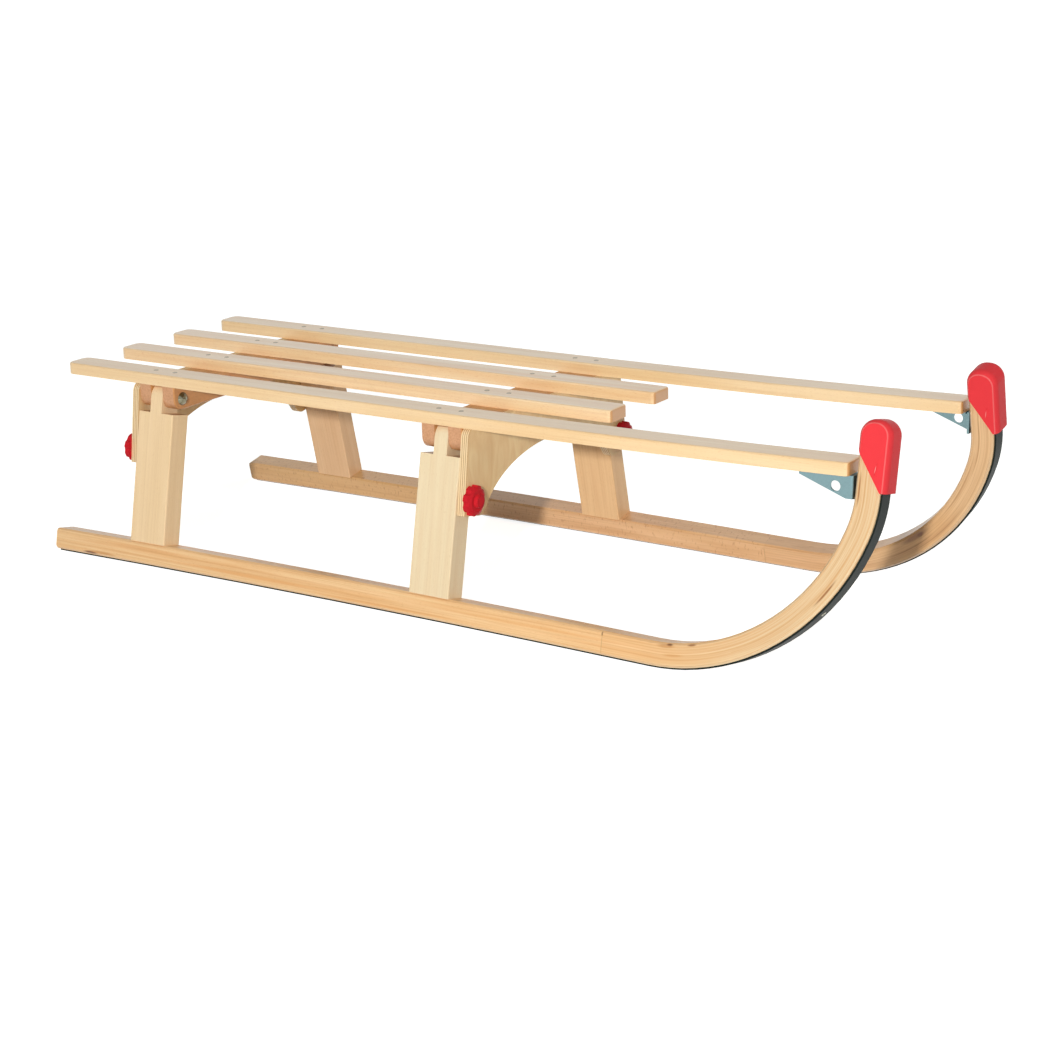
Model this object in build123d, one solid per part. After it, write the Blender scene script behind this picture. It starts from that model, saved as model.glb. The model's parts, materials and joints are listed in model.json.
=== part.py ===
from build123d import *
import os
from math import cos, radians, sin, tan

# Folding wooden sled. X points forwards, Y to the sled's left, Z up, in millimetres. The origin lies
# on the ground under the middle. Each side, from the posts down to the steel shoe, is one flat frame
# that hangs on a fold axis along X and leans outwards by the splay angle.

# overall
overall_length = 1100.0      # tail of the runners to the front of the horn caps
seat_width = 320.0           # over the outer faces of the long rails
splay = 12.0                 # degrees that each side leans outwards

# seat slats
slat_width = 36.0
slat_thickness = 14.0
rail_end_gap = 7.4           # front ends of the two long outer slats, behind the horns
rail_rise = 5.5              # those ends lie higher than the rest of the seat by this
rail_straight = 38.0         # where the rise starts, ahead of the front posts' middle
inner_slat_length = 726.0    # the two short inner slats
slat_setback = 4.5           # rear ends of the slats, ahead of the runners' tails
slat_rear_corner = 10.0      # rounding of the slat ends, seen from above
slat_front_corner = 5.0
slat_edge = 2.5              # rounding along the top edges

# cross beams and their stations, measured from the tail
rear_station = 151.5
front_station = 570.0
beam_height = 29.0
beam_edge = 1.2
pivot_inset = 14.5           # fold axis inside the rails' outer faces

# posts
post_width = 54.0
leg_thickness = 28.0         # posts and runners, across the flat side frame
leg_outer = 15.0             # fold axis to the frame's outer face
leg_length = 180.0           # fold axis down to the runner's top
tenon_width = 18.0
shoulder_drop = 20.0         # fold axis down to the post's shoulders
foot_tenon_length = 34.0
foot_tenon_thickness = 12.0
foot_tenon_depth = 14.0
knob_socket_depth = 22.0     # threaded hole for a knob, in the post's face
post_edge = 1.5

# runners
runner_height = 26.0
runner_camber = 3.0          # the middle of the runner stands this much off flat ground
bend_radius = 242.0          # underside of the long bend
bend_angle = 71.0
toe_radius = 140.0           # underside of the tighter bend under the horn
horn_reach = 73.0            # horn tip above the fold axis
horn_tip_radius = 11.5
tail_corner = 5.0
runner_edge = 2.2

# steel shoes
shoe_width = 19.0
shoe_thickness = 2.0
shoe_setback = 6.0           # rear end of the shoe, ahead of the tail
shoe_reach = 45.0            # end of the shoe above the fold axis, under the horn cap

# horn caps
cap_wall = 2.2
cap_nose = 4.8               # wall in front of the shoe
cap_top_gap = 4.5
cap_back_drop = 48.0         # back end of the slanting lower edge, above the fold axis
cap_front_drop = 5.5         # front end of that edge, above the fold axis
cap_crown = 2.0              # flat between the two rounded top corners
cap_edge = 11.0              # rounding along the flanks, part of which the flat flanks shave off
cap_shave = 2.5
cap_crease = 0.8             # rounding where a flank meets it
cap_lip = 6.0                # level part of the lower edge, at the front
rib_length = 13.0
rib_width = 1.6
rib_height = 0.8
rib_setback = 12.5           # rib behind the cap's front face
rib_rise = 28.5              # rib's middle above the fold axis
rib_tilt = 9.0

# plywood arch boards
board_thickness = 10.0
board_foot = 84.0            # fold axis down to the end of each lobe
board_foot_inset = 4.0       # lobe edge inside the post's outer face, at the foot
board_corner = 12.0
lobe_corner = 13.0
arch_crest = 30.0            # top of the arch below the fold axis
arch_height = 74.0
arch_margin = 20.0           # board outside the arch, on each side

# star knobs
knob_drop = 66.0             # fold axis down to the knobs
knob_radius = 17.4
knob_lobes = 8
knob_groove = 4.0            # radius of the grooves between the lobes
knob_groove_out = 1.8        # their middle, outside the knob's radius
knob_thickness = 9.0
knob_bevel_width = 5.0       # sloping rim of the knob's front
knob_bevel_depth = 2.5
knob_hub_radius = 8.0
knob_hub_top_radius = 6.4
knob_hub_height = 3.5
stud_radius = 4.0

# pivot bolts
bolt_radius = 4.0
bolt_head_radius = 8.0
bolt_head_height = 5.0

# sheet steel brackets between rails and horns
sheet = 2.5
sheet_bend = 4.0             # outer radius of the folds
bracket_length = 60.0        # web, rear tip to front bend
bracket_drop = 24.0          # web below the rail's underside, at the front
bracket_rear_drop = 3.5      # web below the rail's underside, at its rear tip
bracket_heel = 5.0           # level lower edge of the web, behind the front flange
bracket_inset = 4.5          # web inside the rail's outer face
flange_width = 20.0
eye_radius = 5.5
eye_back = 20.0              # eye behind the front flange
eye_drop = 12.3              # eye below the rail's underside
screw_radius = 2.5
screw_head_radius = 4.5
screw_head_height = 3.0
screw_depth = 18.0

# clearances
slot_gap = 0.3               # each side of a tenon between its ears
knuckle_gap = 1.0            # between the round end of a tenon and the rail above it
slot_floor_gap = 1.5         # behind the round end of a tenon
face_gap = 0.3               # flat faces that slide past each other
pin_gap = 0.08               # radial, pin in a turning hole
fixed_pin_gap = 0.05         # radial, pin in a fixed hole
seat_gap = 0.1               # glued and pushed-on pieces
flange_gap = 2.9             # bracket flange behind the horn

tail = -overall_length / 2
half_width = seat_width / 2
pivot_y = half_width - pivot_inset
pivot_drop = leg_outer + knuckle_gap
beam_depth = post_width + 2 * face_gap
arch_half_span = half_width - arch_margin
leg_inner = leg_outer - leg_thickness
leg_middle = (leg_outer + leg_inner) / 2
runner_bottom = leg_length + runner_height
shoe_inner = leg_middle - shoe_width / 2
pivot_z = (runner_bottom + shoe_thickness) * cos(radians(splay)) - shoe_inner * sin(radians(splay))
rail_underside = pivot_z + pivot_drop
seat_top = rail_underside + slat_thickness
beam_underside = rail_underside - beam_height
horn_front = overall_length / 2 - cap_nose - seat_gap - shoe_thickness
horn_back = horn_front - runner_height
cap_back = horn_back - cap_wall - seat_gap
cap_front = overall_length / 2
slat_rear = tail + slat_setback
rail_front = horn_back - rail_end_gap
rear_x = tail + rear_station
front_x = tail + front_station
bow_start = front_x + rail_straight
bracket_top = rail_underside + rail_rise
knob_y = pivot_y + leg_middle * cos(radians(splay)) + knob_drop * sin(radians(splay))
knob_z = pivot_z + leg_middle * sin(radians(splay)) - knob_drop * cos(radians(splay))


def both_sides(name, left_piece):
    """The left piece and its mirror image on the right."""
    return {"left_" + name: left_piece, "right_" + name: mirror(left_piece, about=Plane.XZ)}


def lean(piece):
    """Puts a piece of the flat side frame in its place on the left: outwards is +Y, the fold axis is X."""
    return Pos(0, pivot_y, pivot_z) * Rot(splay, 0, 0) * piece


def side_plate(outline, y_middle, width):
    """Thickens an outline drawn in side view, X forwards and Z up, equally to both sides."""
    plane = Plane(origin=(0, y_middle, 0), x_dir=(1, 0, 0), z_dir=(0, -1, 0))
    return extrude(plane * outline, width / 2, both=True)


def ribbon(lower, upper, y_middle, width):
    """A strip between two lines of edges drawn in side view."""
    ends = [Line(lower[0] @ 0, upper[0] @ 0), Line(lower[-1] @ 1, upper[-1] @ 1)]
    return side_plate(make_face(Curve() + lower + upper + ends), y_middle, width)


def rod_along_x(radius, x_start, x_end):
    """Round bar on the X axis."""
    return Pos((x_start + x_end) / 2, 0, 0) * Rot(0, 90, 0) * Cylinder(radius, abs(x_end - x_start))


def round_headed(shank_radius, shank_length, head_radius, head_height):
    """Screw or bolt on the X axis: the head starts at the origin and points along +X."""
    rim = (0, head_radius)
    crown = (head_height, 0)
    ball_radius = (head_radius ** 2 + head_height ** 2) / (2 * head_height)
    profile = make_face(Curve() + [Line((-shank_length, 0), (-shank_length, shank_radius)),
                                   Line((-shank_length, shank_radius), (0, shank_radius)),
                                   Line((0, shank_radius), rim), RadiusArc(rim, crown, ball_radius),
                                   Line(crown, (-shank_length, 0))])
    return revolve(profile, Axis.X)


# ---- seat ----

def rail_line(height):
    """A rail's side view at a height: straight over the beams, then a slight rise to the horn."""
    start = (bow_start, height)
    half_way = ((bow_start + rail_front) / 2, height + rail_rise / 4)
    bow = ThreePointArc(start, half_way, (rail_front, height + rail_rise))
    return [Line((slat_rear, height), start), bow]


def inner_slat_line(height):
    """The same for a short slat, which is straight."""
    return [Line((slat_rear, height), (slat_rear + inner_slat_length, height))]


def slat(line, y_middle):
    """One slat: a moulded strip, its ends rounded in plan view and its top edges eased all round."""
    strip = ribbon(line(rail_underside), line(seat_top), y_middle, slat_width)
    corners = strip.edges().filter_by(Axis.Z).group_by(Axis.X)
    strip = fillet(corners[0], slat_rear_corner)
    strip = fillet(strip.edges().filter_by(Axis.Z).group_by(Axis.X)[-1], slat_front_corner)
    top = strip.faces().filter_by(lambda face: face.normal_at().Z > 0.9)
    rim = top.edges().filter_by(lambda edge: abs(edge.length - slat_width) > slat_edge)
    return fillet(rim, slat_edge)


def crossbeam(x):
    """Beam with forked ends: two ears at each end take a post's tenon, with a round lower corner."""
    ear_radius = pivot_z - beam_underside
    blank = Pos(x, 0, rail_underside - beam_height / 2) * Box(beam_depth, seat_width, beam_height)
    blank = fillet(blank.edges().filter_by(Axis.X).group_by(Axis.Z)[0], min(pivot_inset, ear_radius))
    blank = chamfer(blank.edges().filter_by(Axis.Y).group_by(Axis.Z)[0], beam_edge)
    slot_reach = pivot_inset + max(leg_outer, -leg_inner) + slot_floor_gap
    slot_width = tenon_width + 2 * slot_gap
    for side in (1, -1):
        slot = Box(slot_width, slot_reach, 3 * beam_height)
        blank -= Pos(x, side * (half_width - slot_reach / 2), pivot_z) * slot
        bore = rod_along_x(bolt_radius + fixed_pin_gap, -beam_depth, beam_depth)
        blank -= Pos(x, side * pivot_y, pivot_z) * bore
    return blank


def arch_board(x_face, facing):
    """Plywood board on the outer face of a beam, with a lobe down each post and an elliptical arch."""
    foot_out = leg_outer - board_foot_inset
    foot_y = pivot_y + foot_out * cos(radians(splay)) + board_foot * sin(radians(splay))
    foot_z = pivot_z + foot_out * sin(radians(splay)) - board_foot * cos(radians(splay))
    drop = foot_y * tan(radians(splay))
    half = Polygon((0, rail_underside), (half_width, rail_underside), (foot_y, foot_z),
                   (0, foot_z - drop), align=None)
    outline = half + mirror(half, about=Plane.YZ)
    outline -= Pos(0, pivot_z - arch_crest - arch_height) * Ellipse(arch_half_span, arch_height)
    outline = outline.faces().sort_by(Axis.Y)[-1]
    corners = outline.vertices()
    top = corners.group_by(Axis.Y)[-1]
    outline = fillet(ShapeList(top.sort_by(Axis.X)[0:1] + top.sort_by(Axis.X)[-1:]), board_corner)
    inner = outline.vertices().group_by(Axis.Y)[0]
    outline = fillet(inner, lobe_corner)
    middle = Plane(origin=(x_face + facing * board_thickness / 2, 0, 0), x_dir=(0, 1, 0), z_dir=(1, 0, 0))
    board = extrude(middle * outline, board_thickness / 2, both=True)
    for side in (1, -1):
        hole = rod_along_x(stud_radius + fixed_pin_gap, -2 * board_thickness, 2 * board_thickness)
        board -= Pos(x_face, side * knob_y, knob_z) * hole
    return board


# ---- side frame, laid flat with the fold axis as its X axis ----

def post(x):
    """Post with a round-ended tenon for the beam and a stub tenon for the runner."""
    body_height = leg_length - shoulder_drop
    body = Pos(x, leg_middle, -(shoulder_drop + leg_length) / 2) * Box(
        post_width, leg_thickness, body_height)
    body = fillet(body.edges().filter_by(Axis.Z), post_edge)
    neck = Pos(x, leg_middle, -shoulder_drop / 2) * Box(tenon_width, leg_thickness, shoulder_drop)
    knuckle = Pos(x, 0, 0) * rod_along_x(leg_outer, -tenon_width / 2, tenon_width / 2)
    behind = Pos(x, leg_inner - leg_outer, 0) * Box(2 * tenon_width, 2 * leg_outer, 3 * leg_outer)
    foot = Pos(x, leg_middle, -leg_length) * Box(
        foot_tenon_length, foot_tenon_thickness, 2 * foot_tenon_depth)
    bore = Pos(x, 0, 0) * rod_along_x(bolt_radius + pin_gap, -post_width, post_width)
    board_side = x + post_width / 2 * (1 if x == front_x else -1)
    socket = Pos(board_side, leg_middle, -knob_drop) * rod_along_x(
        stud_radius, -knob_socket_depth, knob_socket_depth)
    body -= runner_strip(0, runner_height, horn_reach, 2 * leg_thickness, leg_middle)
    return body + neck + (knuckle - behind) + foot - bore - socket


def runner_line(inset, tip):
    """The runner's side view at a depth inside its underside: cambered run, two bends and the horn."""
    low = bend_radius - inset
    toe = toe_radius - inset
    turn = radians(bend_angle)
    toe_middle_x = horn_front - toe_radius
    low_middle_x = toe_middle_x - (bend_radius - toe_radius) * sin(turn)
    low_middle_z = -runner_bottom + bend_radius
    toe_middle_z = low_middle_z - (bend_radius - toe_radius) * cos(turn)
    lead = 4 * runner_camber / (low_middle_x - tail)
    rear = (tail, -runner_bottom + inset)
    start = (low_middle_x - low * sin(lead), low_middle_z - low * cos(lead))
    camber = ((tail + start[0]) / 2, rear[1] + runner_camber)
    half_way = (low_middle_x + low * sin(turn / 2), low_middle_z - low * cos(turn / 2))
    change = (low_middle_x + low * sin(turn), low_middle_z - low * cos(turn))
    three_quarter = radians((bend_angle + 90) / 2)
    near_end = (toe_middle_x + toe * sin(three_quarter), toe_middle_z - toe * cos(three_quarter))
    end = (toe_middle_x + toe, toe_middle_z)
    return [ThreePointArc(rear, camber, start), ThreePointArc(start, half_way, change),
            ThreePointArc(change, near_end, end), Line(end, (horn_front - inset, tip))]


def runner_strip(inset, depth, tip, width, middle):
    """A bent strip of the side frame between two depths of the runner's line."""
    return ribbon(runner_line(inset, tip), runner_line(inset + depth, tip), middle, width)


def runner():
    """Bent runner with a round horn tip, mortises for the posts and a pilot hole for the screw."""
    strip = runner_strip(0, runner_height, horn_reach, leg_thickness, leg_middle)
    across = strip.edges().filter_by(Axis.Y)
    strip = fillet(across.group_by(Axis.Z)[-1], horn_tip_radius)
    strip = fillet(strip.edges().filter_by(Axis.Y).group_by(Axis.X)[0], tail_corner)
    strip = chamfer(strip.faces().filter_by(Axis.Y).edges(), runner_edge)
    for x in (rear_x, front_x):
        strip -= Pos(x, leg_middle, -leg_length) * Box(
            foot_tenon_length + 2 * seat_gap, foot_tenon_thickness + 2 * seat_gap,
            2 * (foot_tenon_depth + seat_gap))
    pilot = rod_along_x(screw_radius + fixed_pin_gap, horn_back - 1, horn_back + screw_depth)
    return strip - pilot


def shoe():
    """Steel strip under the runner, bent up the horn's front to under its cap."""
    strip = runner_strip(-shoe_thickness, shoe_thickness, shoe_reach, shoe_width, leg_middle)
    return strip - Pos(tail, leg_middle, -runner_bottom) * Box(2 * shoe_setback, leg_thickness, runner_height)


def cap_outline(depth):
    """Side view of the cap: round top, and a lower edge that slants from the back down to the front."""
    front = cap_back + depth
    top = horn_reach + cap_top_gap
    sketch = Polygon((cap_back, cap_back_drop), (front - cap_lip, cap_front_drop),
                     (front, cap_front_drop), (front, top), (cap_back, top), align=None)
    return fillet(sketch.vertices().group_by(Axis.Y)[-1], (depth - cap_crown) / 2)


def cap():
    """Hollow moulded cap over the horn's tip, with a small rib on each flank."""
    depth = cap_front - cap_back
    wide = leg_thickness + 2 * (cap_wall + seat_gap)
    shell = side_plate(cap_outline(depth), leg_middle, wide + 2 * cap_shave)
    shell = fillet(shell.faces().filter_by(Axis.Y).edges().filter_by(GeomType.CIRCLE), cap_edge)
    shell &= Pos(cap_front, leg_middle, 0) * Box(4 * depth, wide, 4 * horn_reach)
    shell = fillet(shell.faces().filter_by(Axis.Y).edges().filter_by(GeomType.BSPLINE), cap_crease)
    for flank in (leg_middle + wide / 2, leg_middle - wide / 2):
        rib = Pos(cap_front - rib_setback, flank, rib_rise) * Rot(0, rib_tilt, 0) * Box(
            rib_width, 2 * rib_height, rib_length)
        shell += rib
    inner_back = cap_back + cap_wall
    inner_front = cap_front - cap_nose
    inner_top = horn_reach + seat_gap
    hollow = Polygon((inner_back, -horn_reach), (inner_front, -horn_reach), (inner_front, inner_top),
                     (inner_back, inner_top), align=None)
    hollow = fillet(hollow.vertices().group_by(Axis.Y)[-1], horn_tip_radius)
    core = side_plate(hollow, leg_middle, leg_thickness + 2 * seat_gap)
    return shell - chamfer(core.faces().filter_by(Axis.Y).edges().filter_by(GeomType.CIRCLE), cap_wall - seat_gap)


# ---- metal and knobs ----

def bent_corner(x_start, x_end, y_start, y_end, radius):
    """Rectangle in plan view with its front left corner rounded."""
    plan = Polygon((x_start, y_start), (x_end, y_start), (x_end, y_end), (x_start, y_end), align=None)
    return fillet(plan.vertices().group_by(Axis.X)[-1].sort_by(Axis.Y)[-1], radius)


def bracket():
    """Folded sheet under the left rail: web with a rope eye, top flange and a front flange."""
    outer = half_width - bracket_inset
    inner = outer - flange_width
    front = horn_back - flange_gap
    rear = front - bracket_length
    low = bracket_top - bracket_drop
    fold = bent_corner(rear, front, inner, outer, sheet_bend)
    fold -= bent_corner(rear - sheet, front - sheet, inner - sheet, outer - sheet, sheet_bend - sheet)
    walls = Pos(0, 0, low) * extrude(fold, bracket_drop)
    rise_at_rear = rail_rise * ((rear - bow_start) / (rail_front - bow_start)) ** 2
    rear_tip = (rear, rail_underside + rise_at_rear - bracket_rear_drop)
    below = Polygon(rear_tip, (front - sheet_bend - bracket_heel, low), (rear, low), align=None)
    walls -= side_plate(below, outer, 2 * flange_width)
    top = ribbon(rail_line(rail_underside - sheet), rail_line(rail_underside), (inner + outer) / 2, flange_width)
    top -= Pos(rear - overall_length / 2, outer, rail_underside) * Box(
        overall_length, 2 * flange_width, slat_width)
    walls -= ribbon(rail_line(rail_underside), rail_line(seat_top), outer, 2 * flange_width)
    eye = Pos(front - eye_back, outer, bracket_top - eye_drop) * Rot(90, 0, 0) * Cylinder(
        eye_radius, 4 * sheet)
    hole = Pos(0, pivot_y, pivot_z) * rod_along_x(screw_radius + pin_gap, front - 2 * sheet, front + sheet)
    return walls + top - eye - hole


def bracket_screw():
    """Screw through the bracket's flange into the horn, on the fold axis."""
    head_face = horn_back - flange_gap - sheet - face_gap
    shank = horn_back + screw_depth - head_face
    screw = round_headed(screw_radius, shank, screw_head_radius, screw_head_height)
    return Pos(head_face, pivot_y, pivot_z) * Rot(0, 0, 180) * screw


def pivot_bolt(x, inward):
    """Round-headed bolt through both ears and the tenon; its head faces the middle of the sled."""
    bolt = round_headed(bolt_radius, beam_depth, bolt_head_radius, bolt_head_height)
    head_face = x + inward * beam_depth / 2
    return Pos(head_face, pivot_y, pivot_z) * Rot(0, 0, 0 if inward > 0 else 180) * bolt


def knob(board_face, facing):
    """Moulded star knob with a raised hub and a threaded stud through the board."""
    star = Circle(knob_radius)
    star -= PolarLocations(knob_radius + knob_groove_out, knob_lobes) * Circle(knob_groove)
    disc = Pos(0, 0, knob_thickness / 2) * Cylinder(knob_radius, knob_thickness)
    disc = chamfer(disc.edges().group_by(Axis.Z)[-1], knob_bevel_depth, knob_bevel_width)
    body = extrude(star, knob_thickness) & disc
    body += Pos(0, 0, knob_thickness + knob_hub_height / 2) * Cone(
        knob_hub_radius, knob_hub_top_radius, knob_hub_height)
    body += Pos(0, 0, -board_thickness / 2) * Cylinder(stud_radius, board_thickness)
    return Pos(board_face, knob_y, knob_z) * Rot(0, 90 * facing, 0) * body


parts = {}
outer_y = half_width - slat_width / 2
slat_pitch = (seat_width - slat_width) / 3
parts.update(both_sides("rail", slat(rail_line, outer_y)))
parts.update(both_sides("inner_slat", slat(inner_slat_line, outer_y - slat_pitch)))
for place, x, inward in (("rear", rear_x, 1), ("front", front_x, -1)):
    board_back = x - inward * beam_depth / 2
    board_face = board_back - inward * board_thickness
    parts[place + "_crossbeam"] = crossbeam(x)
    parts[place + "_arch_board"] = arch_board(board_back, -inward)
    parts.update(both_sides(place + "_post", lean(post(x))))
    parts.update(both_sides(place + "_pivot_bolt", pivot_bolt(x, inward)))
    parts.update(both_sides(place + "_knob", knob(board_face, -inward)))
parts.update(both_sides("runner", lean(runner())))
parts.update(both_sides("shoe", lean(shoe())))
parts.update(both_sides("horn_cap", lean(cap())))
parts.update(both_sides("bracket", bracket()))
parts.update(both_sides("bracket_screw", bracket_screw()))

os.makedirs("parts", exist_ok=True)
for name, shape in parts.items():
    export_step(shape, "parts/" + name + ".step")
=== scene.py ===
import json
from math import cos, pi, radians, sin

import bpy
import numpy as np
from mathutils import Euler, Matrix, Vector


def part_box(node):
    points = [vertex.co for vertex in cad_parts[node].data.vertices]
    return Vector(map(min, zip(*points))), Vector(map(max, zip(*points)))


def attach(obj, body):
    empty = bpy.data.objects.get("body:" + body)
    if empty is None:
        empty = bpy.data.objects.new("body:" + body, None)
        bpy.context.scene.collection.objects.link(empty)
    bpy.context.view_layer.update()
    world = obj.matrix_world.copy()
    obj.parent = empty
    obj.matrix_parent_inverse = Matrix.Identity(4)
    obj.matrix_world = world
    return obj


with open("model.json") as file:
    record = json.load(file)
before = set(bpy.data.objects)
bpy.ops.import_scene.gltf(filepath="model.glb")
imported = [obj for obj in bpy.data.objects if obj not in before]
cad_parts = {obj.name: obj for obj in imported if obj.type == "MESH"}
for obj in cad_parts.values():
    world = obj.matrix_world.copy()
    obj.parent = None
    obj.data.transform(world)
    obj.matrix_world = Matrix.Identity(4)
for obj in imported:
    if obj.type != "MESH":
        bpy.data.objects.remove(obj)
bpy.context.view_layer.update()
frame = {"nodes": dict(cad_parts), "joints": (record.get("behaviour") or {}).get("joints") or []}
nodes = frame["nodes"]

# ---- seat slats ----
# Four slats of planed beech, moulded with eased top edges and clear lacquered. The long outer two
# are the rails; the short inner two only span the beams. Grain runs along each slat.

# tones of a plank: its pale wood, its tan wood, its ring lines, and its cut end
RAIL_TONES = ("#F3D4A6", "#EAC48F", "#D3A167", "#CB9157")
INNER_TONES = ("#F6D8AD", "#EEC592", "#D39C64", "#CB9157")
RING_LENGTH = 210.0        # mm, how far a ring line runs before it wanders off
FLECK = (4.0, 0.8)         # mm along and across, beech's dark ray flecks; twice their real size, to show
CUT_ANGLE = 0.72           # cosine; a face turned nearer to the grain than this shows end grain
# noise runs from 0 to 1 about a half; each pattern fades in between two of its values
DRIFT_FADE = (0.34, 0.66)
RING_FADE = (0.46, 0.80)
FLECK_FADE = (0.60, 0.74)
SATIN_FADE = (0.3, 0.7)
MARK_CORE = 0.45           # share of its reach over which a mark has its full strength
GLUE_FADE = (0.78, 0.94)   # shares of a ply's thickness at which its glue line begins and is full
PLY_TONE = 0.3             # how far one ply's own tone may go towards the streaks'
PLY_SWAY = 0.8             # plies that a glue line may wander as the wood drifts
PLY_START = 1.0            # mm over which the plies take over from the plank
PORES = (0.12, 0.0003)     # strength, and depth in metres, of the open grain
SATIN = (0.38, 0.48)       # roughness of the lacquer, from its glossiest patches to its dullest
LACQUER_IOR = 1.5
LACQUER_LEVEL = 0.36       # below 0.5, since an even coat on wood mirrors less than a polished one
COAT_ROUGHNESS = 0.28
SLAT_SHEEN = 1.0           # the slats' tops carry the thickest lacquer


def linear(code):
    """sRGB hex as linear RGBA: ((c + 0.055) / 1.055) ** 2.4 per channel, or c / 12.92 near black."""
    channels = np.array([int(code[i:i + 2], 16) for i in (1, 3, 5)]) / 255
    curved = ((channels + 0.055) / 1.055) ** 2.4
    return (*np.where(channels > 0.04045, curved, channels / 12.92), 1.0)


def add(tree, kind, sockets=None, **settings):
    """Adds one shader node and gives its outputs.

    A socket goes by its name, or by its number where names repeat. It takes a value, or another node's
    output to link.
    """
    node = tree.nodes.new("ShaderNode" + kind)
    for key, value in settings.items():
        setattr(node, key, value)
    for key, value in (sockets or {}).items():
        if isinstance(value, bpy.types.NodeSocket):
            tree.links.new(value, node.inputs[key])
        else:
            node.inputs[key].default_value = value
    return node.outputs


def material(name):
    """An empty material and its node tree."""
    made = bpy.data.materials.new(name)
    made.use_nodes = True
    made.node_tree.nodes.clear()
    return made, made.node_tree


def dress(names, finish):
    """Gives CAD nodes a finish in their own material slots."""
    for name in names:
        for slot in nodes[name].material_slots:
            slot.material = finish


def straight_grain(turn, root=(0, 0, 0)):
    """Wood with straight grain: the point in mm from its root, X along the grain, and whether it is cut.

    A face cuts the grain where its normal's share along the grain is over CUT_ANGLE.
    """
    def place(tree):
        spot = add(tree, "TexCoord")
        point = add(tree, "Mapping", {"Vector": spot["Object"], "Location": root, "Rotation": turn,
                                      "Scale": (0.001,) * 3}, vector_type="TEXTURE")[0]
        facing = add(tree, "Mapping", {"Vector": spot["Normal"], "Rotation": turn}, vector_type="TEXTURE")[0]
        along = add(tree, "SeparateXYZ", {0: facing})["X"]
        along = add(tree, "Math", {0: along}, operation="ABSOLUTE")[0]
        return point, add(tree, "Math", {0: along, 1: CUT_ANGLE}, operation="GREATER_THAN")[0]
    return place


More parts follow.
